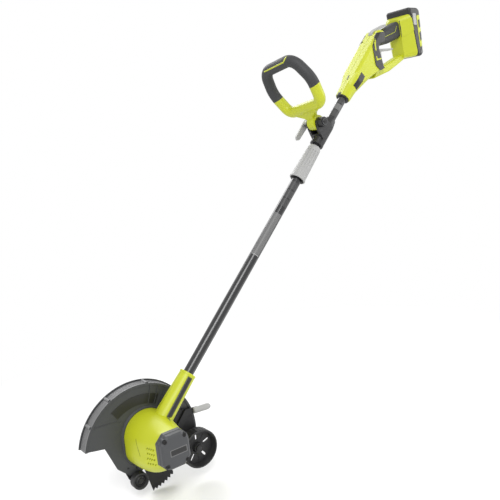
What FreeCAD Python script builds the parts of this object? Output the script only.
import FreeCAD, Part
import math
import os

# Cordless stick lawn edger.  Millimetres.
# Working frame while modelling: the blade axis is the Y axis, +X points to the
# operator, +Y to the blade and guard side, +Z up.  At the end everything is
# shifted so that the origin is the bottom centre of the whole machine.

V = FreeCAD.Vector
os.makedirs("parts", exist_ok=True)
X_AXIS, Y_AXIS, Z_AXIS = V(1, 0, 0), V(0, 1, 0), V(0, 0, 1)

# ---------------------------------------------------------------- stance
shaft_lean = 46.0            # shaft above the ground, degrees
shaft_side = -31.0           # Y of the shaft axis
shaft_rise = 10.5            # shaft axis passes this far in front of the blade axis

# ---------------------------------------------------------------- clearances
run_gap = 0.05               # radial clearance of shafts in bearings and bores
slip_gap = 0.1               # radial clearance of telescoping tubes
body_gap = 0.3               # between parts that move past each other
screw_gap = 0.15             # radial clearance round screws

# ---------------------------------------------------------------- tubes
lower_tube_r = 11.1
lower_tube_wall = 1.0
upper_tube_wall = 1.2
tube_foot = 78.0             # lower end of the lower tube, along the shaft
lower_tube_len = 672.0
tube_top = tube_foot + lower_tube_len
upper_tube_lap = 260.0       # length of upper tube inside the lower one
groove_depth = 0.5
groove_width = 5.0
telescope_travel = 200.0

# ---------------------------------------------------------------- gear train
gear_module = 1.0
pinion_teeth = 12
gear_teeth = 36
pressure_angle = 25.0
tooth_backlash = 0.16
gear_face = 7.0
gear_axis_angle = 65.0       # direction from blade axis to motor axis, degrees

# ---------------------------------------------------------------- spindle and blade
spindle_r = 6.0
spindle_thread_r = 5.0
blade_r = 114.3
blade_thick = 2.0
blade_waist = 40.0
blade_fan_angle = 31.0
blade_tooth_depth = 5.5
blade_teeth = 7
blade_window_r = 3.2
blade_window_at = 76.0
blade_rest_angle = -70.0
flange_r = 21.0
flange_thick = 3.0
nut_across = 17.0
nut_thick = 8.0

# ---------------------------------------------------------------- guard
guard_r = 126.0
guard_wall = 2.5
guard_plate = 3.0
guard_depth = 24.0
guard_from = -12.0           # angle of the rear end, degrees
guard_to = 167.5             # angle of the front tip, degrees
rim_bead = 5.0
rim_bead_high = 2.0
lip_out = 3.5
lip_thick = 2.5
collar_width = 4.5
collar_high = 4.0
collar_gap = 0.4
guard_seams = (145.3, 117.4, 77.7)
guard_screw_angles = (20.0, 100.0, 190.0, 275.0)
guard_screw_at = 33.0
guard_rib_angles = (74.0, 65.0, 56.0)
guard_rib_from = 84.0
guard_rib_high = 1.4
guard_rib_w = 1.8
screw_r = 2.0
roller_screws = [(-40.0, -38.0), (-22.0, -44.0)]

# ---------------------------------------------------------------- motor pod
pod_base_r = 51.0
pod_nose_r = 42.0            # round the blade spindle
pod_wall = 2.5
pod_start = 4.0              # gap between guard plate and pod base, filled by the collar
pod_joint = 104.0            # pod to end cap joint, distance from the guard plate
pod_end = 122.0
vent_rows = 4
vent_cols = 4
cap_recess_r = 4.6
cap_screw_in = 11.0
cap_chamfer = 15.0
cap_corner = 4.0
cap_bevel = 2.5
cap_lip = 3.0                # spigot of the cap inside the pod
cap_plate_long, cap_plate_tall = 30.0, 14.0
cap_plate_turn = 14.0
cap_half_x = 32.5
cap_half_z = 36.0
motor_r = 22.0
motor_len = 64.0
rotor_shaft_r = 2.5
plate_at = 19.0              # face of the gear plate towards the gears
plate_thick = 3.0
spindle_bearing_r = 14.0
spindle_bearing_w = 8.0
tail_bearing_r = 9.5
tail_bearing_w = 6.0
tail_journal_r = 3.0

# ---------------------------------------------------------------- shaft socket
socket_top = 166.0
socket_top_r = 17.2
socket_foot_r = 20.5
groove_turn = 120.0          # where the key groove sits round the tube, degrees from the front

# ---------------------------------------------------------------- front roller
roller_r = 17.5
roller_w = 16.0
roller_x, roller_z = -23.8, -67.1
roller_pin_r = 4.0

# ---------------------------------------------------------------- depth lever and rear wheel
lever_x, lever_z = 66.0, -14.0
lever_thick = 4.0
lever_pin_r = 5.0
lever_hub_r = 11.0
wheel_r = 41.0
wheel_w = 25.0
wheel_arm = 52.8             # lever pivot to wheel axle
wheel_arm_angle = -32.3
wheel_gap = 4.5              # between lever and wheel
axle_r = 5.0
grip_arm = 61.0              # lever pivot to the bend under the hand grip
grip_arm_angle = 51.6
wheel_slots = 5
wheel_treads = 30
quadrant_notches = 7
lever_reach = 26.0           # from the bend to the end of the black arm
lever_drop = 0.06            # slope of the hand grip
lever_grip_r = 6.8

# ---------------------------------------------------------------- lock sleeve and collet
sleeve_lap = 86.0            # sleeve foot below the lower tube's end
sleeve_from = tube_top - sleeve_lap
sleeve_len = 92.0
sleeve_foot_r = 18.8
sleeve_top_r = 15.0
sleeve_wall = 2.4
sleeve_flutes = 14
collet_r = 13.4

# ---------------------------------------------------------------- handle bracket and front handle
tube_to_bracket = 12.0       # from the lower tube's end to the bracket
bracket_from = tube_top + tube_to_bracket
bracket_len = 76.0
bracket_r = 15.5
bracket_to_pivot = 41.0
pivot_at = bracket_from + bracket_to_pivot
pivot_up = 33.0
pivot_bolt_r = 4.0
ear_gap = 23.0
ear_thick = 7.0
cam_washer_thick = 3.0
cam_eye_r = 7.0
cam_pin_r = 2.0
loop_tilt = -16.0
loop_cant = 8.0
loop_bar_r = 13.0
loop_core_r = 10.0
loop_low, loop_mid, loop_high = 42.0, 100.0, 156.0
loop_low_half, loop_mid_half, loop_high_half = 60.0, 75.0, 55.0

# ---------------------------------------------------------------- rear handle
pivot_to_handle = 103.0      # from the front handle's pivot to the rear handle's neck
rear_from = pivot_at + pivot_to_handle
rear_wall = 2.5
rear_half = 24.0             # half width of the body over the trigger
grip_half = 16.0
dock_half = 41.0
housing_round = 7.0

handle_angle = 46.0          # between the shaft and the battery's slide
over_thick = 1.6
bar_half = 12.0
column_half = 18.0
column_slope = 8.0
dock_front = 206.0           # column behind the fingers, from the neck's start
dock_seat = 229.0            # battery seat, at the height dock_mid
dock_mid = 138.0
dock_low = 88.0
dock_high = 192.0
seat_slope = 11.6
seat_gap = 0.3
rear_screws = [(50.0, 30.0, rear_half), (100.0, 60.0, rear_half), (101.0, 130.0, rear_half),
               (44.0, 62.0, rear_half), (184.0, 77.5, bar_half)]
rear_screw_seat = 0.62       # depth of head and end, as shares of the half width there
rear_screw_end = 0.7
rear_boss_r = 4.2
rear_head_r = 3.6
trigger_half = 6.5
trigger_pin_r = 2.0
pin_half = 19.0
trigger_pivot = (104.0, 104.0)
lock_half = 7.0
switch_half = 9.0
board_at = 9.4               # the board's near face, left of the middle plane
board_thick = 1.6
lock_pivot = (118.0, 146.0)

# ---------------------------------------------------------------- battery pack
pack_half = 38.5
pack_deep = 43.0
pack_tall = 118.0
pack_low = 89.0
pack_wedge = 7.0             # how far the back face leans out at the bottom
pack_round = 7.0
pack_wall = 3.0
stem_front = 213.0
stem_low = 114.0
stem_half = 13.5
stem_tall = 44.0
cell_r = 9.2
cell_half = 32.0
latch_at = (229.5, 164.0)
latch_press = 2.0
latch_flange = 0.6


# ================================================================ helpers
def rounded(points, radii):
    """Closed wire through 2-D points (u, v) in the XY plane with rounded corners."""
    count = len(points)
    if not isinstance(radii, (list, tuple)):
        radii = [radii] * count
    corners = []
    for i, (px, py) in enumerate(points):
        p = V(px, py, 0)
        to_prev = V(*points[i - 1], 0) - p
        to_next = V(*points[(i + 1) % count], 0) - p
        half = to_prev.getAngle(to_next) / 2
        r = radii[i]
        reach = r / math.tan(half) if r > 0 else 0.0
        limit = 0.48 * min(to_prev.Length, to_next.Length)
        if reach > limit:
            reach = limit
            r = reach * math.tan(half)
        if r <= 0.01:
            corners.append((p, None, p))
            continue
        a = p + to_prev.normalize() * reach
        b = p + to_next.normalize() * reach
        middle = (to_prev + to_next).normalize()
        mid = p + middle * (r / math.sin(half) - r)
        corners.append((a, mid, b))
    edges = []
    for i in range(count):
        a, mid, b = corners[i]
        if mid is not None:
            edges.append(Part.Arc(a, mid, b).toShape())
        nxt = corners[(i + 1) % count][0]
        if b.distanceToPoint(nxt) > 1e-6:
            edges.append(Part.LineSegment(b, nxt).toShape())
    return Part.Wire(edges)


def upright(wire, y):
    """Stand a wire drawn in XY up into the X-Z plane at the given Y."""
    w = wire.copy()
    w.rotate(V(), X_AXIS, 90)
    w.translate(V(0, y, 0))
    return w


def slab(wire, y0, y1):
    """Solid between two Y planes from a wire drawn as (X, Z) in the XY plane."""
    face = Part.Face(upright(wire, y0))
    return face.extrude(V(0, y1 - y0, 0))


def disc(r, y0, y1, x=0.0, z=0.0):
    return Part.makeCylinder(r, y1 - y0, V(x, y0, z), Y_AXIS)


def ring(r, bore, y0, y1, x=0.0, z=0.0):
    return disc(r, y0, y1, x, z).cut(disc(bore, y0 - 1, y1 + 1, x, z))


def turned(profile, x=0.0, z=0.0):
    """Revolve (radius, y) points round the Y direction through (x, z)."""
    pts = [V(r, y, 0) for r, y in profile]
    wire = Part.makePolygon(pts + [pts[0]])
    solid = Part.Face(wire).revolve(V(), Y_AXIS, 360)
    solid.translate(V(x, 0, z))
    return solid


def turned_along(profile):
    """Revolve (radius, along) points round the Z direction."""
    pts = [V(r, 0, a) for r, a in profile]
    wire = Part.makePolygon(pts + [pts[0]])
    return Part.Face(wire).revolve(V(), Z_AXIS, 360)


def fuse(first, *others):
    out = first
    for o in others:
        out = out.fuse(o)
    return out.removeSplitter()


def cut(base, *tools):
    out = base
    for t in tools:
        out = out.cut(t)
    return out


def soften(solid, radius, pick):
    """Fillet the edges that pick() chooses, each radius in turn until one holds."""
    edges = [e for e in solid.Edges if pick(e)]
    for r in (radius, radius * 0.7, radius * 0.4):
        try:
            out = solid.makeFillet(r, edges)
            if out.isValid() and out.Volume > 0:
                return out
        except Exception:
            pass
    return solid


def polar(r, degrees, x=0.0, z=0.0):
    t = math.radians(degrees)
    return (x + r * math.cos(t), z + r * math.sin(t))


# ================================================================ frames
lean = math.radians(shaft_lean)
ALONG = V(math.cos(lean), 0, math.sin(lean))
FRONT = V(-math.sin(lean), 0, math.cos(lean))
SHAFT = FreeCAD.Placement(
    FRONT * shaft_rise + V(0, shaft_side, 0),
    FreeCAD.Rotation(FRONT, -Y_AXIS, ALONG, "ZXY"),
)


def on_shaft(shape):
    """Place a shape drawn with x = towards the front, y = -Y, z = along the shaft."""
    s = shape.copy()
    s.Placement = SHAFT.multiply(s.Placement)
    return s


def shaft_slab(points, radii, y0, y1):
    """Slab of an outline given as (along, front), between two widths from the shaft plane."""
    wire = rounded([(b, a) for a, b in points], radii)
    w = wire.copy()
    w.rotate(V(), X_AXIS, 90)
    w.translate(V(0, y0, 0))
    return Part.Face(w).extrude(V(0, y1 - y0, 0))


nodes = {}


def keep(name, *solids):
    """Store the solids of one node."""
    flat = []
    for s in solids:
        flat.extend(s.Solids)
    nodes[name] = flat


centre_distance = gear_module * (pinion_teeth + gear_teeth) / 2
motor_x, motor_z = polar(centre_distance, gear_axis_angle)
wheel_x, wheel_z = polar(wheel_arm, wheel_arm_angle, lever_x, lever_z)


# ================================================================ guard
def pod_radius(angle, r_motor, r_nose):
    """Reach from the motor axis of the outline round both axes."""
    ux, uz = math.cos(angle), math.sin(angle)
    along = -(ux * motor_x + uz * motor_z)
    off = motor_x ** 2 + motor_z ** 2 - along ** 2
    if r_nose ** 2 > off:
        return max(r_motor, along + math.sqrt(r_nose ** 2 - off))
    return r_motor


def pod_wire(y, r_motor, r_nose, grow=0.0, steps=24):
    """Smooth outline round motor and spindle at one distance from the guard."""
    pts = []
    for i in range(steps):
        t = 2 * math.pi * i / steps
        r = pod_radius(t, r_motor, r_nose) + grow
        pts.append(V(motor_x + r * math.cos(t), y, motor_z + r * math.sin(t)))
    curve = Part.BSplineCurve()
    curve.interpolate(pts, PeriodicFlag=True)
    return Part.Wire(curve.toShape())


def cap_wire(y, half_x, half_z, power=3.2, steps=24):
    """Rounded square outline of the cap end."""
    pts = []
    for i in range(steps):
        t = 2 * math.pi * i / steps
        c, s = math.cos(t), math.sin(t)
        r = (abs(c / half_x) ** power + abs(s / half_z) ** power) ** (-1 / power)
        pts.append(V(motor_x + r * c, y, motor_z + r * s))
    curve = Part.BSplineCurve()
    curve.interpolate(pts, PeriodicFlag=True)
    return Part.Wire(curve.toShape())


def sector(r_out, r_in, a0, a1, x=0.0, z=0.0):
    """Wire of a ring sector between two angles, drawn as (X, Z)."""
    am = (a0 + a1) / 2
    p = [V(*polar(r, a, x, z), 0) for r, a in
         ((r_out, a0), (r_out, am), (r_out, a1), (r_in, a1), (r_in, am), (r_in, a0))]
    return Part.Wire([
        Part.Arc(p[0], p[1], p[2]).toShape(),
        Part.LineSegment(p[2], p[3]).toShape(),
        Part.Arc(p[3], p[4], p[5]).toShape(),
        Part.LineSegment(p[5], p[0]).toShape(),
    ])


def band(r_out, r_in, y0, y1):
    return slab(sector(r_out, r_in, guard_from, guard_to), y0, y1)


def pod_block(y0, y1, grow0, grow1):
    """Straight or tapered block with the outline of the pod base."""
    a = pod_wire(y0, pod_base_r, pod_nose_r, grow0)
    b = pod_wire(y1, pod_base_r, pod_nose_r, grow1)
    return Part.makeLoft([a, b], True, True)


def make_guard():
    tip, heel = polar(guard_r, guard_to), polar(guard_r, guard_from)
    mid = polar(guard_r, (guard_from + guard_to) / 2)
    rim = Part.Arc(V(*heel, 0), V(*mid, 0), V(*tip, 0)).toShape()
    lower = [tip, (-82, 20), (-62, -32), (-39, -54.4), (-8, -53), (30, -48), (64, -34), (104, -38), heel]
    sides = [Part.LineSegment(V(*a, 0), V(*b, 0)).toShape() for a, b in zip(lower, lower[1:])]
    body = fuse(
        slab(Part.Wire([rim] + sides), 0, guard_plate),
        band(guard_r, guard_r - guard_wall, 0, guard_depth),
        band(guard_r, guard_r - rim_bead, -rim_bead_high, 0.0),
        band(guard_r + lip_out, guard_r - guard_wall, guard_depth - lip_thick, guard_depth),
        pod_block(0, -collar_high, collar_width, 2.0),
    )
    for angle in guard_seams:
        body = body.fuse(disc(lip_out, 0, guard_depth, *polar(guard_r - 0.5, angle)))
    body = body.cut(pod_block(-collar_high - 1, 0, collar_gap, collar_gap))
    for angle in guard_rib_angles:
        rib = Part.makeBox(guard_r - rim_bead + 1 - guard_rib_from, guard_rib_high + 1, guard_rib_w, V(guard_rib_from, -guard_rib_high, -guard_rib_w / 2))
        rib.rotate(V(), Y_AXIS, -angle)
        body = body.fuse(rib)
    body = body.cut(disc(spindle_bearing_r + 5.2, -1, guard_plate + 1))
    for angle in guard_screw_angles:
        body = body.cut(disc(screw_r + screw_gap, -1, guard_plate + 1, *polar(guard_screw_at, angle)))
    for x, z in roller_screws:
        body = body.cut(disc(screw_r + screw_gap, -1, guard_plate + 1, x, z))
    body = body.cut(disc(lever_pin_r + run_gap, -1, guard_plate + 1, lever_x, lever_z))
    return body.removeSplitter()


def make_screw(x, z, face, length, out=-1, head_r=4.0, head=2.6):
    """Pan head screw along Y, its head seated at `face` and pointing to `out`."""
    if out < 0:
        shank = disc(screw_r, face, face + length, x, z)
        cap = disc(head_r, face - head, face, x, z)
        slot = disc(1.6, face - head - 0.1, face - head + 1.2, x, z)
    else:
        shank = disc(screw_r, face - length, face, x, z)
        cap = disc(head_r, face, face + head, x, z)
        slot = disc(1.6, face + head - 1.2, face + head + 0.1, x, z)
    return shank.fuse(cap).cut(slot)


# ================================================================ motor pod
def pod_skin(inset):
    """Outer or inner body of the pod, inset from its outer surface."""
    start = -body_gap
    rows = [
        pod_wire(start, pod_base_r, pod_nose_r, -inset),
        pod_wire(-0.35 * pod_joint, pod_base_r - 2.5, pod_nose_r - 1.5, -inset),
        pod_wire(-0.66 * pod_joint, pod_base_r - 8, pod_nose_r - 7, -inset),
    ]
    last = -pod_joint
    rows.append(cap_wire(last, cap_half_x - inset, cap_half_z - inset))
    return Part.makeLoft(rows, True, False)


def make_pod():
    """Lime motor pod with the shaft socket, open towards guard and cap."""
    outer = pod_skin(0.0)
    inner = pod_skin(pod_wall)
    socket = on_shaft(turned_along([
        (0, 30), (socket_foot_r + 2, 30), (socket_foot_r, 70),
        (socket_top_r, socket_top), (0, socket_top)]))
    boss = on_shaft(turned_along([
        (0, tube_foot - 12), (lower_tube_r + 4, tube_foot - 12), (lower_tube_r + 4, tube_foot + 8),
        (0, tube_foot + 8)]))
    body = outer.fuse(socket).cut(inner).fuse(boss.cut(pod_skin(-1.0).common(inner)))
    bore = on_shaft(Part.makeCylinder(lower_tube_r + run_gap, socket_top, V(0, 0, tube_foot)))
    wires = on_shaft(Part.makeCylinder(lower_tube_r - 3, 60, V(0, 0, tube_foot - 40)))
    body = cut(body, bore, wires)
    face_side = slab(rounded([(-200, -200), (300, -200), (300, 300), (-200, 300)], 0), -body_gap, 60)
    body = body.cut(face_side)
    for row in range(vent_rows):
        for col in range(vent_cols):
            slot = Part.makeBox(20, 2.2, 5.5, V(-10, -1.1, -2.75))
            slot.rotate(V(), X_AXIS, 35)
            slot.translate(V(motor_x - cap_half_x - 4, -pod_joint + 8 + 5.5 * col, motor_z - 24 + 10 * row))
            body = body.cut(slot)
    return body


def cap_face(y, inset):
    """Eight-sided outline of the end cap."""
    hx, hz, c = cap_half_x - inset, cap_half_z - inset, cap_chamfer - 0.4 * inset
    points = [(hx - c, -hz), (hx, -hz + c), (hx, hz - c), (hx - c, hz),
              (-hx + c, hz), (-hx, hz - c), (-hx, -hz + c), (-hx + c, -hz)]
    return upright(rounded([(motor_x + x, motor_z + z) for x, z in points], cap_corner), y)


def make_end_cap():
    """Dark eight-sided cap with a raised band, a plate on its face and four sunk screws."""
    band_end = -pod_joint - 0.45 * (pod_end - pod_joint)
    rows = [cap_face(-pod_joint, -0.8), cap_face(band_end, -0.2), cap_face(band_end - 0.8, 0.8),
            cap_face(-pod_end + cap_bevel, 2.0), cap_face(-pod_end, 2.0 + 1.4 * cap_bevel)]
    body = Part.makeLoft(rows, True, True)
    body = body.fuse(Part.makeLoft([cap_face(-pod_joint + cap_lip, pod_wall + 1.8), cap_face(-pod_joint, pod_wall + 1.8)],
                                   True, True))
    body = body.cut(Part.makeLoft([
        cap_face(-pod_joint + cap_lip + 0.1, 2 * pod_wall), cap_face(-pod_end + 2 * pod_wall, 2 * pod_wall + 3)],
        True, True))
    plate = Part.makeBox(cap_plate_long, 0.8, cap_plate_tall, V(-cap_plate_long / 2, -0.4, -cap_plate_tall / 2))
    plate.rotate(V(), Y_AXIS, -cap_plate_turn)
    plate.translate(V(motor_x, -pod_end + 0.4, motor_z))
    body = body.fuse(plate)
    for x, z in cap_screw_places():
        body = body.cut(disc(cap_recess_r, -pod_end - 1, -pod_end + 3, x, z))
        body = body.fuse(ring(cap_recess_r + 1.2, screw_r + screw_gap, -pod_end + 3, -pod_joint - 1, x, z))
        body = body.cut(disc(screw_r + screw_gap, -pod_end, -pod_joint + 1, x, z))
    return body.common(Part.makeLoft([cap_face(-pod_joint + cap_lip, -0.8), cap_face(-pod_end - 1, -0.8)], True, True))


def cap_screw_places():
    return [(motor_x + sx * (cap_half_x - cap_screw_in), motor_z + sz * (cap_half_z - cap_screw_in))
            for sx in (-1, 1) for sz in (-1, 1)]


# ================================================================ gears and motor
def gear_wire(teeth, backlash):
    """Closed involute outline of a spur gear centred on the origin."""
    m = gear_module
    alpha = math.radians(pressure_angle)
    r_pitch = m * teeth / 2
    r_base = r_pitch * math.cos(alpha)
    r_tip = r_pitch + 0.9 * m
    r_root = r_pitch - 1.2 * m
    inv = math.tan(alpha) - alpha
    half = math.pi / (2 * teeth) - backlash / (2 * r_pitch)

    def flank(r):
        a = math.acos(min(1.0, r_base / r))
        return half + inv - (math.tan(a) - a)

    r_low = max(r_base, r_root)
    radii = [r_low, (r_low + r_tip) / 2, r_tip]
    edges = []
    step = 2 * math.pi / teeth

    def at(r, t):
        return V(r * math.cos(t), r * math.sin(t), 0)

    for k in range(teeth):
        c = k * step
        left = [at(r, c - flank(r)) for r in radii]
        right = [at(r, c + flank(r)) for r in reversed(radii)]
        foot_a = at(r_root, c - flank(r_low))
        foot_b = at(r_root, c + flank(r_low))
        nxt = at(r_root, c + step - flank(r_low))
        valley = at(r_root, c + step / 2)
        if r_low > r_root + 1e-6:
            edges.append(Part.LineSegment(foot_a, left[0]).toShape())
        edges.append(Part.Arc(*left).toShape())
        edges.append(Part.Arc(left[2], at(r_tip, c), right[0]).toShape())
        edges.append(Part.Arc(*right).toShape())
        if r_low > r_root + 1e-6:
            edges.append(Part.LineSegment(right[2], foot_b).toShape())
        edges.append(Part.Arc(foot_b, valley, nxt).toShape())
    return Part.Wire(edges)


def make_gear(teeth, bore, y0, y1, x=0.0, z=0.0, turn=0.0):
    wire = gear_wire(teeth, tooth_backlash)
    wire.rotate(V(), Z_AXIS, turn)
    solid = slab(wire, y0, y1)
    solid.translate(V(x, 0, z))
    return solid.cut(disc(bore, y0 - 1, y1 + 1, x, z))


def make_bearing(outer, bore, y0, y1, x=0.0, z=0.0):
    """Deep groove bearing drawn as one ring with a step on each face."""
    w = y1 - y0
    mid = (outer + bore) / 2
    body = ring(outer, bore, y0, y1, x, z)
    groove = ring(mid + 1.2, mid - 1.2, y0 - 1, y0 + 0.5, x, z)
    groove_b = ring(mid + 1.2, mid - 1.2, y1 - 0.5, y1 + 1, x, z)
    return cut(body, groove, groove_b)


def make_gear_cover():
    """Aluminium cover that closes the pod and carries the spindle bearing."""
    plate = pod_block(-collar_high, 0, -pod_wall - 0.4, -pod_wall - 0.4)
    hub = disc(spindle_bearing_r + 5, -collar_high, guard_plate + 2)
    body = plate.fuse(hub)
    body = body.cut(disc(spindle_bearing_r, guard_plate + 2 - spindle_bearing_w, guard_plate + 3))
    body = body.cut(disc(spindle_r + 3, -collar_high - 1, guard_plate + 3))
    for angle in guard_screw_angles:
        body = body.cut(disc(screw_r, -collar_high - 1, 1, *polar(guard_screw_at, angle)))
    return body.removeSplitter()


def make_gear_plate():
    """Steel plate across the pod that holds the motor and the tail bearing."""
    y1 = -plate_at
    y0 = y1 - plate_thick
    plate = pod_block(y0, y1, -pod_wall - 6.0, -pod_wall - 6.0)
    seat = ring(tail_bearing_r + 2.5, tail_bearing_r, y1, y1 + tail_bearing_w)
    body = plate.fuse(seat)
    body = body.cut(disc(tail_journal_r + 2, y0 - 1, y1 + 1))
    body = body.cut(disc(8.0, y0 - 1, y1 + 1, motor_x, motor_z))
    tube = on_shaft(Part.makeCylinder(lower_tube_r + 5, 80, V(0, 0, tube_foot - 20)))
    return body.cut(tube)


def make_motor():
    """Closed motor can with its front boss and brush end."""
    y1 = -plate_at - plate_thick
    y0 = y1 - motor_len
    can = disc(motor_r, y0, y1, motor_x, motor_z)
    band_ = ring(motor_r + 1.5, motor_r - 0.5, y0 + 14, y1 - 12, motor_x, motor_z)
    nose = disc(7.8, y1, y1 + 2.5, motor_x, motor_z)
    tail = disc(8.0, y0 - 3, y0, motor_x, motor_z)
    body = fuse(can, band_, nose, tail)
    return body.cut(disc(rotor_shaft_r + run_gap, y0 - 5, y1 + 5, motor_x, motor_z))


def make_rotor_shaft():
    y1 = -plate_at - plate_thick
    return disc(rotor_shaft_r, y1 - motor_len - 12, -5.5, motor_x, motor_z)


def make_fan():
    """Cooling fan behind the motor."""
    y0 = -plate_at - plate_thick - motor_len - 11
    body = disc(6.0, y0, y0 + 6, motor_x, motor_z).fuse(disc(20.0, y0, y0 + 1.2, motor_x, motor_z))
    for k in range(8):
        blade = Part.makeBox(13.5, 5.0, 1.4, V(5, y0 + 0.6, -0.7))
        blade.rotate(V(), Y_AXIS, 45 * k)
        blade.translate(V(motor_x, 0, motor_z))
        body = body.fuse(blade)
    return body.cut(disc(rotor_shaft_r, y0 - 1, y0 + 8, motor_x, motor_z)).removeSplitter()


def make_spindle():
    tail = -plate_at + 0.2
    return turned([
        (0, tail), (tail_journal_r, tail), (tail_journal_r, -plate_at + tail_bearing_w + 0.4),
        (spindle_r, -plate_at + tail_bearing_w + 0.4), (spindle_r, flange_face),
        (spindle_thread_r, flange_face),
        (spindle_thread_r, flange_face + blade_thick + flange_thick + nut_thick + 2),
        (0, flange_face + blade_thick + flange_thick + nut_thick + 3)])


flange_face = guard_plate + 2 + 1 + flange_thick


def make_inner_flange():
    y0 = flange_face - flange_thick
    return turned([
        (spindle_r, y0), (9.5, y0), (9.5, y0 + 1), (flange_r, y0 + 1), (flange_r, flange_face),
        (spindle_r, flange_face)])


def make_blade():
    """Two serrated fans joined by a narrow waist."""
    y0, y1 = flange_face, flange_face + blade_thick
    half = math.radians(blade_fan_angle / 2)
    root = blade_r - blade_tooth_depth
    outline = []
    for side in (0, 1):
        turn = side * math.pi
        step = 2 * half / blade_teeth
        for k in range(blade_teeth):
            t0 = turn - half + k * step
            outline.append((blade_r * math.cos(t0 + 0.35 * step), blade_r * math.sin(t0 + 0.35 * step)))
            outline.append((root * math.cos(t0 + 0.9 * step), root * math.sin(t0 + 0.9 * step)))
        c, n = math.cos(turn), math.sin(turn)
        waist = blade_waist / 2
        neck = 0.36 * blade_r
        outline.append((neck * c - waist * n, neck * n + waist * c))
        outline.append((-neck * c - waist * n, -neck * n + waist * c))
    wire = Part.makePolygon([V(x, z, 0) for x, z in outline + outline[:1]])
    body = slab(Part.Wire(wire.Edges), y0, y1)
    for side in (-1, 1):
        body = body.cut(disc(blade_window_r, y0 - 1, y1 + 1, side * blade_window_at, 0))
    body = body.cut(disc(spindle_thread_r + run_gap, y0 - 1, y1 + 1))
    body.rotate(V(), Y_AXIS, -blade_rest_angle)
    return body


def make_outer_flange():
    y0 = flange_face + blade_thick
    return turned([
        (spindle_thread_r + run_gap, y0), (flange_r - 2, y0), (flange_r - 4, y0 + flange_thick),
        (spindle_thread_r + run_gap, y0 + flange_thick)])


def make_nut():
    y0 = flange_face + blade_thick + flange_thick
    corner = nut_across / 2 / math.cos(math.radians(30))
    pts = [polar(corner, 60 * k) for k in range(6)]
    nut = slab(rounded(pts, 0), y0, y0 + nut_thick)
    return nut.cut(disc(spindle_thread_r, y0 - 1, y0 + nut_thick + 1))


# ================================================================ front roller
def make_roller_bracket():
    """Plate behind the guard skirt that carries the roller pin."""
    y0, y1 = guard_plate, guard_plate + 2.6
    plate = slab(rounded([(-52, -30), (-40, -64), (roller_x - 6, roller_z - 8),
                          (roller_x + 6, roller_z - 8), (-4, -46), (-18, -32)], 4), y0, y1)
    plate = plate.cut(disc(spindle_bearing_r + 10, y0 - 1, y1 + 1))
    boss = disc(roller_pin_r + 4, y1 - 7.0, y1, roller_x, roller_z)
    body = plate.fuse(boss)
    body = body.cut(disc(roller_pin_r, y0 - 10, y1 + 1, roller_x, roller_z))
    for x, z in roller_screws:
        body = body.cut(disc(screw_r, y0 - 1, y1 + 1, x, z))
    return body.removeSplitter()


roller_back = guard_plate + 2.6 - 7.0 - body_gap
roller_front = roller_back - roller_w


def make_roller_pin():
    return turned([
        (0, roller_front + 1.5), (roller_pin_r + 2, roller_front + 1.5), (roller_pin_r + 2, roller_front + 3.5),
        (roller_pin_r, roller_front + 3.5), (roller_pin_r, guard_plate + 2.6), (0, guard_plate + 2.6),
    ], roller_x, roller_z)


def make_roller():
    f, b = roller_front, roller_back
    bore = roller_pin_r + run_gap
    return turned([
        (bore, f + 3.5 + body_gap), (7.5, f + 3.5 + body_gap), (7.5, f + 1.0), (11.5, f + 4.5), (14.0, f),
        (roller_r - 1, f), (roller_r, f + 1), (roller_r, b - 1), (roller_r - 1, b), (bore, b),
    ], roller_x, roller_z)


# ================================================================ depth lever and wheel
lever_back = -5.0
lever_front = lever_back - lever_thick
wheel_back = lever_front - wheel_gap
wheel_front = wheel_back - wheel_w


def make_quadrant():
    """Notched black plate on the guard that the lever moves over."""
    y0, y1 = lever_back + body_gap, 0.0
    outer, inner = grip_arm + 4.0, lever_hub_r + 4.0
    body = slab(sector(outer, inner, grip_arm_angle - 42, grip_arm_angle + 30, lever_x, lever_z), y0, y1)
    for k in range(quadrant_notches):
        angle = grip_arm_angle - 34 + 56 * k / (quadrant_notches - 1)
        body = body.cut(disc(2.4, y0 - 1, y1 + 1, *polar(outer, angle, lever_x, lever_z)))
    hub = ring(lever_hub_r, lever_pin_r, y0, y1, lever_x, lever_z)
    spoke = slab(rounded([(lever_x, lever_z - 8), polar(24, grip_arm_angle - 30, lever_x, lever_z),
                          polar(24, grip_arm_angle + 30, lever_x, lever_z), (lever_x - 6, lever_z + 6)], 0), y0, y1)
    body = body.fuse(hub).fuse(spoke).cut(disc(lever_pin_r, y0 - 1, y1 + 1, lever_x, lever_z))
    body = body.cut(pod_block(y0 - 1, 1, collar_width + body_gap, collar_width + body_gap))
    return body.common(disc(guard_r - rim_bead - body_gap, y0 - 1, y1 + 1)).removeSplitter()


def make_lever_pin():
    return turned([
        (0, lever_front - 2.5), (lever_pin_r + 3, lever_front - 2.5), (lever_pin_r + 3, lever_front - body_gap),
        (lever_pin_r, lever_front - body_gap), (lever_pin_r, guard_plate + 2), (0, guard_plate + 2),
    ], lever_x, lever_z)


def lever_bend():
    return polar(grip_arm, grip_arm_angle, lever_x, lever_z)


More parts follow.
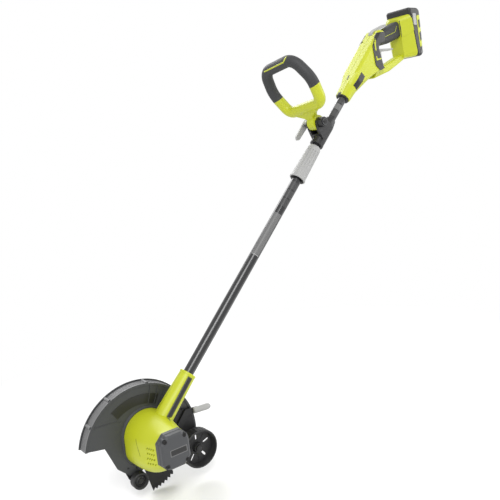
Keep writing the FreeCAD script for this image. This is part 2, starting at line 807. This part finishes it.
def make_lever():
    """Black arm from the wheel axle past the pivot to the hand grip."""
    bx, bz = lever_bend()
    y0, y1 = lever_front, lever_back
    hub = disc(lever_hub_r, y0, y1, lever_x, lever_z)
    end = disc(axle_r + 4.5, y0, y1, wheel_x, wheel_z)

    def limb(x0, z0, x1, z1, w0, w1):
        length = math.hypot(x1 - x0, z1 - z0)
        nx, nz = -(z1 - z0) / length, (x1 - x0) / length
        pts = [(x0 + nx * w0, z0 + nz * w0), (x0 - nx * w0, z0 - nz * w0),
               (x1 - nx * w1, z1 - nz * w1), (x1 + nx * w1, z1 + nz * w1)]
        return slab(rounded(pts, 0), y0, y1)

    body = fuse(
        hub, end, disc(7.0, y0, y1, bx, bz),
        limb(lever_x, lever_z, wheel_x, wheel_z, lever_hub_r - 1, axle_r + 4),
        limb(lever_x, lever_z, bx, bz, lever_hub_r - 2, 7.0),
        limb(bx, bz, bx + lever_reach, bz - lever_drop * lever_reach, 7.0, 6.0),
        disc(6.0, y0, y1, bx + lever_reach, bz - lever_drop * lever_reach),
    )
    return cut(
        body, disc(lever_pin_r + run_gap, y0 - 1, y1 + 1, lever_x, lever_z),
        disc(axle_r, y0 - 1, y1 + 1, wheel_x, wheel_z)).removeSplitter()


def make_lever_grip():
    """Light gray moulded grip on the outer end of the lever."""
    bx, bz = lever_bend()
    length = 42.0
    centre_y = -rim_bead_high - lever_grip_r - 2 * body_gap
    body = turned_along([(0, 0), (5.5, 0), (lever_grip_r - 0.3, 2), (lever_grip_r, length - 8), (5.8, length - 3), (3.5, length), (0, length)])
    body.rotate(V(), Y_AXIS, 90)
    body.rotate(V(), Y_AXIS, math.degrees(math.atan(lever_drop)))
    body.translate(V(bx + lever_reach - 10, centre_y, bz - lever_drop * (lever_reach - 10)))
    return body.cut(make_lever())


def make_axle():
    """Wheel axle pressed in the lever, with a retaining head at the wheel's hub."""
    return turned([
        (0, wheel_front + 4), (axle_r + 3, wheel_front + 4), (axle_r + 3, wheel_front + 7),
        (axle_r, wheel_front + 7), (axle_r, lever_back), (0, lever_back)], wheel_x, wheel_z)


def make_wheel():
    """Deep dished wheel with radial slots in its web."""
    f, b = wheel_front, wheel_back
    bore = axle_r + run_gap
    hub_f = f + 7 + body_gap
    web_f, web_b = f + 16, f + 19
    body = turned([
        (bore, hub_f), (10.5, hub_f), (11.5, web_f), (wheel_r - 6.5, web_f), (wheel_r - 3.6, f),
        (wheel_r - 1.2, f), (wheel_r, f + 1.2), (wheel_r, b - 1.2), (wheel_r - 1.2, b), (wheel_r - 3.6, b),
        (wheel_r - 5, web_b), (11.5, web_b), (10.5, b), (bore, b)])
    for k in range(wheel_slots):
        slot = slab(rounded([(16, -2.2), (31, -2.2), (31, 2.2), (16, 2.2)], 2.0), web_f - 1, web_b + 1)
        slot.rotate(V(), Y_AXIS, -90 - 360 * k / wheel_slots)
        body = body.cut(slot)
    for k in range(wheel_treads):
        nick = Part.makeBox(3, wheel_w + 2, 1.6, V(wheel_r - 0.9, f - 1, -0.8))
        nick.rotate(V(), Y_AXIS, 360 * k / wheel_treads)
        body = body.cut(nick)
    body.translate(V(wheel_x, 0, wheel_z))
    return body


# ================================================================ shaft
def make_lower_tube():
    """Lower tube with a key groove along its front and a lock thread ring on top."""
    r, bore = lower_tube_r, lower_tube_r - lower_tube_wall
    body = Part.makeCylinder(r, lower_tube_len, V(0, 0, tube_foot))
    body = body.cut(Part.makeCylinder(bore, lower_tube_len + 2, V(0, 0, tube_foot - 1)))
    groove = Part.makeBox(2, groove_width, lower_tube_len, V(r - groove_depth, -groove_width / 2, socket_top + 4))
    groove.rotate(V(), Z_AXIS, groove_turn)
    return on_shaft(body.cut(groove))


upper_tube_r = lower_tube_r - lower_tube_wall - slip_gap


def make_upper_tube():
    start = tube_top - upper_tube_lap
    length = rear_from + 60 - start
    body = Part.makeCylinder(upper_tube_r, length, V(0, 0, start))
    body = body.cut(Part.makeCylinder(upper_tube_r - upper_tube_wall, length + 2, V(0, 0, start - 1)))
    return on_shaft(body)


def make_collet():
    """Split collet fixed on the top of the lower tube, gripping the upper tube."""
    base = tube_top - 34
    top = sleeve_from + sleeve_len - 2.5 - body_gap
    body = turned_along([
        (lower_tube_r, base), (collet_r, base), (collet_r, tube_top), (collet_r - 0.8, top),
        (upper_tube_r + slip_gap, top), (upper_tube_r + slip_gap, tube_top), (lower_tube_r, tube_top)])
    for k in range(4):
        slit = Part.makeBox(collet_r + 2, 1.2, 14, V(0, -0.6, tube_top - 9))
        slit.rotate(V(), Z_AXIS, 90 * k + 45)
        body = body.cut(slit)
    return on_shaft(body)


def make_sleeve():
    """Fluted twist sleeve with a flared skirt round the lower tube."""
    a0, a1 = sleeve_from, sleeve_from + sleeve_len
    rf, rt = sleeve_foot_r, sleeve_top_r
    bore = collet_r + body_gap
    body = turned_along([
        (rf - sleeve_wall, a0), (rf - 0.6, a0), (rf, a0 + 1), (rf, a0 + 4), (rf - 0.9, a0 + 5),
        (rt + 0.3, a1 - 4), (rt - 1.2, a1), (upper_tube_r + body_gap, a1), (upper_tube_r + body_gap, a1 - 2.5),
        (bore, a1 - 2.5), (bore, a0 + 50), (rf - sleeve_wall - 1, a0 + 18)])
    for k in range(sleeve_flutes):
        flute = Part.makeCylinder(1.5, sleeve_len - 24, V(0, 0, a0 + 11))
        slope = math.degrees(math.atan((rf - rt) / sleeve_len))
        flute.rotate(V(0, 0, a0 + 11), Y_AXIS, -slope)
        flute.translate(V(rf - 0.1, 0, 0))
        flute.rotate(V(), Z_AXIS, 360 * k / sleeve_flutes)
        body = body.cut(flute)
    return on_shaft(body)


# ================================================================ handle bracket
def pivot_point():
    return SHAFT.multVec(V(pivot_up, 0, pivot_at))


def across(r, y0, y1, a=None, up=None):
    """Cylinder across the machine in the shaft frame, between widths y0 and y1."""
    a = pivot_at if a is None else a
    up = pivot_up if up is None else up
    return Part.makeCylinder(r, y1 - y0, V(up, y0, a), Y_AXIS)


def make_bracket():
    """Black clamp body on the upper tube with two ears for the handle pivot."""
    a0, a1 = bracket_from, bracket_from + bracket_len
    body = turned_along([
        (0, a0), (bracket_r - 1.5, a0), (bracket_r, a0 + 2), (bracket_r, a1 - 18), (bracket_r - 3, a1), (0, a1)])
    half = ear_gap / 2
    for y0, y1 in ((-half - ear_thick, -half), (half, half + ear_thick)):
        ear = shaft_slab([(a0 + 14, 2), (pivot_at - 17, pivot_up - 4), (pivot_at - 8, pivot_up + 11),
                          (pivot_at + 8, pivot_up + 11), (pivot_at + 16, pivot_up - 4), (a1 - 16, 2)],
                         [2, 14, 11, 11, 14, 2], y0, y1)
        body = body.fuse(ear)
    web = shaft_slab([(a0 + 14, 0), (pivot_at - 22, 17), (pivot_at - 12, 13), (pivot_at + 12, 13), (a1 - 18, 0)],
                     0, -half - 1, half + 1)
    body = body.fuse(web).cut(across(handle_hub_r + body_gap + 0.5, -half, half))
    body = body.cut(Part.makeCylinder(upper_tube_r, bracket_len + 4, V(0, 0, a0 - 2)))
    body = body.cut(across(pivot_bolt_r, -60, 60))
    return on_shaft(body.removeSplitter())


handle_hub_r = 17.0


def make_pivot_bolt():
    """Bolt across the ears with a round knob head on the operator's left."""
    body = fuse(
        across(pivot_bolt_r, cam_side - 1, ear_face),
        Part.makeCone(pivot_bolt_r, pivot_bolt_r / 2, 2.5, V(pivot_up, cam_side - 1, pivot_at), V(0, -1, 0)),
        across(11.0, ear_face, ear_face + 12),
        across(8.0, ear_face + 12, ear_face + 13.5)).cut(cam_pin_rod(cam_pin_r))
    return on_shaft(body)


def cam_pin_rod(radius):
    return Part.makeCylinder(radius, 16, V(pivot_up - 8, cam_side, pivot_at), X_AXIS)


def make_cam_washer():
    """Washer that the cam lever bears on, on the operator's right."""
    washer = across(9.0, -ear_face - cam_washer_thick, -ear_face)
    return on_shaft(washer.cut(across(pivot_bolt_r, -ear_face - 4, -ear_face + 1)))


def make_clamp_lever():
    """Light gray quick release lever, closed along the bracket."""
    eye = Part.makeCylinder(cam_eye_r, 16, V(pivot_up - 8, cam_side, pivot_at), X_AXIS)
    blade = shaft_slab([(pivot_at + 5, pivot_up - 8), (pivot_at - 44, pivot_up - 6), (pivot_at - 50, pivot_up),
                        (pivot_at - 44, pivot_up + 6), (pivot_at + 5, pivot_up + 8)],
                       [3, 5, 6, 5, 3], cam_side - cam_eye_r, cam_side - cam_eye_r + 4)
    slot = Part.makeBox(2 * pivot_bolt_r + 1, 20, 22,
                        V(pivot_up - pivot_bolt_r - 0.5, cam_side - pivot_bolt_r - 0.3, pivot_at - 11))
    return on_shaft(cut(eye.fuse(blade), slot, cam_pin_rod(cam_pin_r + run_gap)))


def make_cam_pin():
    return on_shaft(cam_pin_rod(cam_pin_r))


ear_face = ear_gap / 2 + ear_thick
cam_side = -ear_face - cam_washer_thick - cam_eye_r - body_gap


# ================================================================ front handle
def loop_frame(shape):
    """Place a shape drawn with x across, y up the loop and z out of its plane."""
    s = shape.copy()
    s.rotate(V(), Z_AXIS, loop_cant)
    # x -> across (-Y of the machine is +x drawn), y -> front tilted, z -> along the shaft
    m = FreeCAD.Placement(V(pivot_up, 0, pivot_at), FreeCAD.Rotation(V(0, 1, 0), V(1, 0, 0), V(0, 0, -1), "ZXY"))
    s.Placement = m.multiply(s.Placement)
    s.rotate(V(pivot_up, 0, pivot_at), Y_AXIS, loop_tilt)
    return on_shaft(s)


def loop_points():
    return [(-loop_low_half, loop_low), (-loop_mid_half, loop_mid), (-loop_high_half, loop_high),
            (loop_high_half, loop_high), (loop_mid_half, loop_mid), (loop_low_half, loop_low)]


def loop_path():
    return rounded(loop_points(), [22, 60, 34, 34, 60, 22])


def pipe(path, radius):
    """Round bar along a closed path."""
    start = path.Edges[0]
    p = start.valueAt(start.FirstParameter)
    d = start.tangentAt(start.FirstParameter)
    circle = Part.Wire(Part.Circle(p, d, radius).toShape())
    return Part.Wire(path.Edges).makePipeShell([circle], True, False)


def make_front_handle():
    core = pipe(loop_path(), loop_core_r)
    full = pipe(loop_path(), loop_bar_r)
    low = Part.makeBox(400, loop_split + 100, 100, V(-200, -100, -50))
    body = core.fuse(full.common(low))
    neck = rounded([(-46, loop_low - 2), (46, loop_low - 2), (34, loop_low - 12), (ear_gap / 2 - 1, 18), (ear_gap / 2 - 1, 0),
                    (-ear_gap / 2 + 1, 0), (-ear_gap / 2 + 1, 18), (-34, loop_low - 12)], [3, 3, 16, 10, 0, 0, 10, 16])
    web = Part.Face(neck).extrude(V(0, 0, 18))
    web.translate(V(0, 0, -9))
    placed = loop_frame(body.fuse(web))
    half = ear_gap / 2 - body_gap
    hub = on_shaft(across(handle_hub_r, -half, half))
    placed = placed.fuse(hub)
    clear_a = on_shaft(across(17.5, -ear_gap / 2 - 40, -half))
    clear_b = on_shaft(across(17.5, half, ear_gap / 2 + 40))
    bolt = on_shaft(across(pivot_bolt_r + run_gap, -60, 60))
    return cut(placed, clear_a, clear_b, bolt).removeSplitter()


loop_split = 84.0


def make_front_grip():
    full = pipe(loop_path(), loop_bar_r)
    core = pipe(loop_path(), loop_core_r)
    high = Part.makeBox(400, 200, 100, V(-200, loop_split, -50))
    return loop_frame(full.common(high).cut(core))



# ================================================================ rear handle
REAR = FreeCAD.Placement(
    SHAFT.multVec(V(0, 0, rear_from)),
    FreeCAD.Rotation(Y_AXIS, shaft_lean - handle_angle),
)


def rear_slab(points, radii, y0, y1):
    """Slab of an outline (back, up) of the rear handle between two widths, left is +."""
    solid = slab(rounded(points, radii), -y1, -y0)
    solid.Placement = REAR.multiply(solid.Placement)
    return solid


def rear_disc(r, y0, y1, back, up):
    solid = disc(r, -y1, -y0, back, up)
    solid.Placement = REAR.multiply(solid.Placement)
    return solid


def rear_rect(back, up, slope, half, low, high, radius, grow=0.0):
    """Rounded rectangle across the handle, leaning back by `slope` degrees towards its foot."""
    h = half + grow
    wire = rounded([(-h, low - up - grow), (h, low - up - grow), (h, high - up + grow), (-h, high - up + grow)],
                   radius + grow)
    # drawn x -> machine Y, drawn y -> up
    wire.rotate(V(), X_AXIS, 90)
    wire.rotate(V(), Z_AXIS, 90)
    wire.rotate(V(), Y_AXIS, -slope)
    wire.translate(V(back, 0, up))
    wire.Placement = REAR.multiply(wire.Placement)
    return wire


def dock_flare(grow=0.0, inset=0.0):
    """Body from the narrow column behind the fingers to the wide battery seat."""
    front = rear_rect(dock_front, dock_mid, column_slope, column_half, dock_low, dock_high - 9, 9.0, grow - inset)
    seat = rear_rect(dock_seat, dock_mid, seat_slope, dock_half, dock_low, dock_high, 12.0, grow - inset)
    return Part.makeLoft([front, seat], True, True)


FRONT_BODY = [(-13, 8), (28, 56), (122, 156), (141, 153), (138, 122), (114, 117), (128, 70),
              (142, 52), (104, 42), (76, 38), (48, 13), (10, -13)]
FRONT_RADII = [4, 40, 12, 8, 6, 8, 8, 2, 20, 16, 40, 10]
LOWER_BAR = [(100, 40), (161, 57), (189, 70), (222, 86), (222, 100), (197, 92), (150, 73), (118, 70)]
GRIP = [(134, 148), (160, 161), (199, 177), (218, 182), (233, 175), (233, 158), (218, 142), (186, 131),
        (163, 124), (134, 119)]
GRIP_RADII = [2, 30, 40, 12, 14, 14, 30, 40, 30, 2]
BEZEL = [(112, 148), (90, 116), (97, 70), (112, 58), (134, 66), (118, 116), (138, 124), (141, 150)]
BEZEL_RADII = [6, 8, 8, 4, 8, 6, 2, 6]


def shrink(points, amount):
    """Outline moved inwards by a fixed amount."""
    wire = rounded(points, 0)
    return wire.makeOffset2D(-amount)


def rear_inner(points, amount, y0, y1):
    solid = slab(shrink(points, amount), -y1, -y0)
    solid.Placement = REAR.multiply(solid.Placement)
    return solid


def round_sides(solid, radius, half):
    """Fillet the outline edges on both broad faces of a slab of the rear handle."""
    back = solid.copy()
    back.Placement = REAR.inverse().multiply(back.Placement)

    def on_face(edge):
        box = edge.BoundBox
        return box.YLength < 1e-4 and abs(abs(box.YMin) - half) < 1e-3

    out = soften(back, radius, on_face)
    out.Placement = REAR.multiply(out.Placement)
    return out


def neck_cone(grow=0.0):
    """Round neck of the handle round the tube that widens towards the trigger."""
    cone = on_shaft(turned_along([
        (0, rear_from - 1), (17.5 + grow, rear_from - 1), (19.5 + grow, rear_from + 30),
        (34 + grow, rear_from + 90), (70 + grow, rear_from + 190), (400, rear_from + 420), (0, rear_from + 420)]))
    return cone


def body_outer():
    body = rear_slab(FRONT_BODY, FRONT_RADII, -rear_half, rear_half)
    body = round_sides(body, housing_round, rear_half)
    return body.common(neck_cone())


def body_grown():
    """Front body grown by the overmould thickness on its two broad sides."""
    body = rear_slab(FRONT_BODY, FRONT_RADII, -rear_half - over_thick, rear_half + over_thick)
    return round_sides(body, housing_round, rear_half + over_thick)


def grip_bar(half, inset):
    bar = slab(shrink(GRIP, inset), -half, half) if inset else slab(rounded(GRIP, GRIP_RADII), -half, half)
    bar.Placement = REAR.multiply(bar.Placement)
    return round_sides(bar, half * (0.62 if not inset else 0.5), half)


def make_rear_shell():
    """Both halves of the rear housing as one hollow body."""
    body = body_outer()
    bar = round_sides(rear_slab(LOWER_BAR, [2, 30, 30, 3, 3, 30, 12, 2], -bar_half, bar_half), 5.0, bar_half)
    flare = dock_flare()
    core = grip_bar(grip_half - over_thick, over_thick)
    shell = body.fuse(bar).fuse(flare).fuse(core)
    room = rear_inner(FRONT_BODY, rear_wall + 1.0, -rear_half + rear_wall, rear_half - rear_wall)
    room = room.common(neck_cone(-rear_wall))
    keep_neck = on_shaft(Part.makeCylinder(60, 66, V(0, 0, rear_from - 2)))
    shell = shell.cut(room.cut(keep_neck))
    inside = body_outer().fuse(bar)
    for back, up, half in rear_screws:
        shell = shell.fuse(rear_disc(rear_boss_r, 1 - half, half - 1, back, up).common(inside))
    for back, up in (trigger_pivot, lock_pivot):
        shell = shell.fuse(rear_disc(5.2, -rear_half + 1, rear_half - 1, back, up).common(inside))
    for side in (-1, 1):
        near, far = sorted((side * (switch_half + 0.1), side * (rear_half - 1)))
        shell = shell.fuse(rear_disc(5.0, near, far, 80, 83))
    shell = shell.fuse(rear_disc(4.0, board_at + board_thick + 0.1, rear_half - 1, 80, 66))
    tube = on_shaft(Part.makeCylinder(upper_tube_r, 62, V(0, 0, rear_from - 2)))
    wires = on_shaft(Part.makeCylinder(upper_tube_r - 2, 80, V(0, 0, rear_from)))
    shell = cut(shell, tube, wires, stem_block(body_gap), seal_ring_block(), behind_seat())
    for back, up, half in rear_screws:
        shell = shell.cut(rear_disc(screw_r, -half - 5, rear_screw_end * half + 1, back, up))
        shell = shell.cut(rear_disc(rear_head_r + 0.4, -half - 5, -rear_screw_seat * half, back, up))
    for back, up in (trigger_pivot, lock_pivot):
        shell = shell.cut(rear_disc(trigger_pin_r, -pin_half, pin_half, back, up))
    return shell.cut(trigger_room()).cut(lock_room())


def behind_seat():
    """Everything behind the battery seat."""
    top, low = dock_mid + 200, dock_mid - 200
    lean_back = math.tan(math.radians(seat_slope))
    points = [(dock_seat + lean_back * 200, low), (dock_seat + 300, low), (dock_seat + 300, top),
              (dock_seat - lean_back * 200, top)]
    return rear_slab(points, 0, -120, 120)


def stem_block(grow):
    """Space of the battery stem inside the dock."""
    block = rear_slab([(stem_front - grow, stem_low - grow), (dock_seat + 24, stem_low - grow),
                       (dock_seat + 24, stem_low + stem_tall + grow), (stem_front - grow, stem_low + stem_tall + grow)],
                      3.0, -stem_half - grow, stem_half + grow)
    return block


def half_space(side):
    """Everything on the operator's left (+1) or right (-1) of the handle's middle plane."""
    y = shaft_side - 200 if side > 0 else shaft_side
    return Part.makeBox(2000, 200, 2000, V(-200, y, -200))


def make_rear_housing():
    shell = make_rear_shell()
    return shell.common(half_space(1)), shell.common(half_space(-1))


def make_rear_screws():
    out = []
    for back, up, half in rear_screws:
        seat = -rear_screw_seat * half
        head = rear_disc(rear_head_r, seat - 2.4, seat, back, up)
        out.append(head.fuse(rear_disc(screw_r, seat, rear_screw_end * half, back, up)))
    return out


def make_rear_overmould():
    """Dark rubber over the grip that runs on to both flanks of the dock."""
    bar = grip_bar(grip_half, 0)
    region = rear_slab(GRIP, GRIP_RADII, -60, 60)
    pads = dock_flare(over_thick).common(region)
    body = bar.fuse(pads)
    hole = grip_bar(grip_half - over_thick, over_thick)
    body = cut(body, hole, dock_flare(), body_outer(), stem_block(body_gap), bezel_block(), behind_seat())
    return [x for x in cut(body, trigger_room(), lock_room()).Solids if x.Volume > 60]


def bezel_block():
    region = rear_slab(BEZEL, BEZEL_RADII, -60, 60)
    return body_grown().common(region)


def make_bezel():
    """Dark trim on both flanks in front of the trigger opening."""
    body = bezel_block().cut(body_outer())
    body = body.cut(trigger_room()).cut(lock_room())
    return [x for x in body.Solids if x.Volume > 60]


def seal_ring_block():
    return on_shaft(turned_along([
        (upper_tube_r, rear_from - 3), (15.5, rear_from - 3), (16.5, rear_from + 4),
        (upper_tube_r, rear_from + 4)]))


def trigger_room():
    """Slot that the trigger moves in, wider than the trigger."""
    h = trigger_half + body_gap
    return rear_slab([(92, 82), (145, 82), (145, 121), (92, 121)], 3, -h, h)


def make_trigger():
    """Light gray finger lever, pivoted inside the handle at its front end."""
    h = trigger_half
    px, pz = trigger_pivot
    arm = rear_slab([(px - 5, pz - 6), (px + 12, pz - 6), (128, 96), (137, 88), (141, 90), (139, 106),
                     (183, 109), (185, 112), (183, 113.5), (px + 10, pz + 7), (px - 5, pz + 6)],
                    [4, 6, 4, 2, 2, 6, 1.2, 1.2, 1.2, 3, 4], -h, h)
    hub = rear_disc(5.5, -h, h, px, pz)
    body = arm.fuse(hub).removeSplitter()
    return body.cut(rear_disc(trigger_pin_r + run_gap, -h - 1, h + 1, px, pz))


def make_trigger_pin():
    return rear_disc(trigger_pin_r, -pin_half, pin_half, *trigger_pivot)


def lock_room():
    h = lock_half + body_gap
    return rear_slab([(108, 138), (156, 138), (174, 180), (120, 164)], 2, -h, h)


def make_lock_lever():
    """Light gray lock-off lever above the grip, hinged at its front end."""
    h = lock_half
    px, pz = lock_pivot
    top = rear_slab([(px - 6, pz - 4), (px + 8, pz - 3), (136, 156.5), (163, 166.5), (164, 170), (160, 171),
                     (128, 160), (px - 4, pz + 6)],
                    [3, 3, 6, 1.4, 1.4, 1.4, 8, 4], -h, h)
    body = top.fuse(rear_disc(4.6, -h, h, px, pz)).removeSplitter()
    return body.cut(rear_disc(trigger_pin_r + run_gap, -h - 1, h + 1, px, pz))


def make_lock_pin():
    return rear_disc(trigger_pin_r, -pin_half, pin_half, *lock_pivot)


def make_switch():
    """Trigger switch body in the handle."""
    body = rear_slab([(72, 74), (88, 74), (88, 92), (72, 92)], 2, -switch_half, switch_half)
    plunger = rear_slab([(87, 82), (91, 82), (91, 86), (87, 86)], 0, -2, 2)
    return body.fuse(plunger).removeSplitter()


def make_board():
    """Control board with its power parts."""
    board = rear_slab([(50, 47), (64, 40), (92, 66), (76, 72), (66, 72)], 1, board_at, board_at + board_thick)
    chips = []
    for k in range(4):
        chips.append(rear_slab([(56 + 5 * k, 50 + 4 * k), (60 + 5 * k, 50 + 4 * k), (60 + 5 * k, 58 + 4 * k),
                                (56 + 5 * k, 58 + 4 * k)], 0, board_at - 6, board_at))
    return fuse(board, *chips)


# ================================================================ battery pack
def pack_outline(inset=0.0):
    top, low = pack_low + pack_tall, pack_low
    slope = math.tan(math.radians(seat_slope))
    front_low = dock_seat + slope * (dock_mid - low) + seat_gap
    front_top = dock_seat + slope * (dock_mid - top) + seat_gap
    return [(front_low + inset, low + inset), (front_top + pack_deep + pack_wedge - inset, low + inset),
            (front_top + pack_deep - inset, top - inset), (front_top + inset, top - inset)]


def make_pack():
    """Black battery case with the stem that goes up into the dock."""
    case = round_sides(rear_slab(pack_outline(), [5, 12, 12, 5], -pack_half, pack_half), pack_round, pack_half)
    stem = rear_slab([(stem_front, stem_low), (dock_seat + 12, stem_low), (dock_seat + 12, stem_low + stem_tall),
                      (stem_front, stem_low + stem_tall)], 3.0, -stem_half, stem_half)
    body = case.fuse(stem)
    room = rear_inner(pack_outline(), pack_wall, -pack_half + pack_wall, pack_half - pack_wall)
    body = body.cut(room)
    for side in (-1, 1):
        body = body.cut(latch_block(side, 0.3))
    return body.removeSplitter()


def make_cells():
    """Ten round cells in two rows inside the case."""
    top = pack_low + pack_tall
    slope = math.tan(math.radians(seat_slope))
    out = []
    for k in range(5):
        up = pack_low + 15 + k * (pack_tall - 34) / 4
        back = dock_seat + slope * (dock_mid - up) + seat_gap + pack_wall + cell_r + 0.35
        out.append(rear_disc(cell_r, -cell_half, cell_half, back, up))
    return out


def latch_block(side, grow):
    """Body of the button on one flank of the pack; grow widens it for its window."""
    x0, z0 = latch_at
    points = [(x0 - grow, z0 - grow), (x0 + 11 + grow, z0 - grow), (x0 + 9 + grow, z0 + 28 + grow),
              (x0 - 2 - grow, z0 + 28 + grow)]
    near, far = pack_half - pack_wall - 0.4, pack_half + latch_press + 0.4
    return rear_slab(points, 2.5, *((near, far) if side > 0 else (-far, -near)))


def make_latch(side):
    """Battery release button with a flange that keeps it behind the case wall."""
    x0, z0 = latch_at
    points = [(x0 - 1.2, z0 - 1.5), (x0 + 12.5, z0 - 1.5), (x0 + 10.5, z0 + 29.5), (x0 - 3.2, z0 + 29.5)]
    far = pack_half - pack_wall - 0.1
    near = far - latch_flange
    flange = rear_slab(points, 2.5, *((near, far) if side > 0 else (-far, -near)))
    return latch_block(side, 0.0).fuse(flange).removeSplitter()


keep("guard_shell", make_guard())
keep("motor_pod", make_pod())
keep("motor_end_cap", make_end_cap())
keep("gear_cover", make_gear_cover())
keep("gear_plate", make_gear_plate())
keep("motor_can", make_motor())
keep("rotor_shaft", make_rotor_shaft())
keep("cooling_fan", make_fan())
keep("spindle", make_spindle())
keep("inner_flange", make_inner_flange())
keep("edger_blade", make_blade())
keep("outer_flange", make_outer_flange())
keep("blade_nut", make_nut())
keep("drive_gear", make_gear(gear_teeth, spindle_r, -12, -12 + gear_face, 0, 0, gear_axis_angle + 180 / gear_teeth))
keep("pinion", make_gear(pinion_teeth, rotor_shaft_r, -12.5, -12.5 + gear_face, motor_x, motor_z, gear_axis_angle + 180))
keep("roller_bracket", make_roller_bracket())
keep("roller_pin", make_roller_pin())
keep("front_roller", make_roller())
keep("depth_quadrant", make_quadrant())
keep("lever_pin", make_lever_pin())
keep("depth_lever", make_lever())
keep("depth_lever_grip", make_lever_grip())
keep("wheel_axle", make_axle())
keep("rear_wheel", make_wheel())
keep("lower_tube", make_lower_tube())
keep("upper_tube", make_upper_tube())
keep("lock_collet", make_collet())
keep("lock_sleeve", make_sleeve())
keep("handle_bracket", make_bracket())
keep("pivot_bolt", make_pivot_bolt())
keep("cam_washer", make_cam_washer())
keep("clamp_lever", make_clamp_lever())
keep("cam_pin", make_cam_pin())
keep("front_handle", make_front_handle())
keep("front_grip", make_front_grip())

left, right = make_rear_housing()
keep("rear_housing_left", left)
keep("rear_housing_right", right)
keep("rear_housing_screws", *make_rear_screws())
keep("rear_grip", *make_rear_overmould())
keep("trigger_bezel", *make_bezel())
keep("tube_seal", seal_ring_block())
keep("trigger", make_trigger())
keep("trigger_pin", make_trigger_pin())
keep("lock_off_lever", make_lock_lever())
keep("lock_off_pin", make_lock_pin())
keep("trigger_switch", make_switch())
keep("control_board", make_board())
keep("battery_case", make_pack())
keep("battery_cells", *make_cells())
keep("latch_left", make_latch(1))
keep("latch_right", make_latch(-1))

keep("end_cap_screws", *[make_screw(x, z, -pod_end + 3, pod_end - pod_joint - 4) for x, z in cap_screw_places()])
keep("guard_screws", *[make_screw(*polar(guard_screw_at, a), guard_plate, 6.5, 1) for a in guard_screw_angles])
keep("roller_screws", *[make_screw(x, z, guard_plate + 2.6, 5.6, 1, 3.4, 2.0) for x, z in roller_screws])
tail_y, head_y = -plate_at, guard_plate + 2 - spindle_bearing_w
keep(
    "spindle_bearings",
    make_bearing(tail_bearing_r, tail_journal_r + run_gap, tail_y, tail_y + tail_bearing_w),
    make_bearing(spindle_bearing_r, spindle_r + run_gap, head_y, guard_plate + 2),
)

# the origin goes to the bottom centre of the whole machine
everything = Part.makeCompound([x for solids in nodes.values() for x in solids])
box = everything.optimalBoundingBox(False, False)
SHIFT = V(-(box.XMin + box.XMax) / 2, -(box.YMin + box.YMax) / 2, -box.ZMin)

for name, solids in nodes.items():
    shape = Part.makeCompound(solids) if len(solids) != 1 else solids[0]
    shape = shape.copy()
    shape.translate(SHIFT)
    bad = [x for x in solids if not x.isValid()]
    print(name, len(solids), round(shape.Volume), "BAD" if bad or not solids else "")
    shape.exportStep("parts/" + name + ".step")
print("shift", SHIFT, "size", box.XLength, box.YLength, box.ZLength)
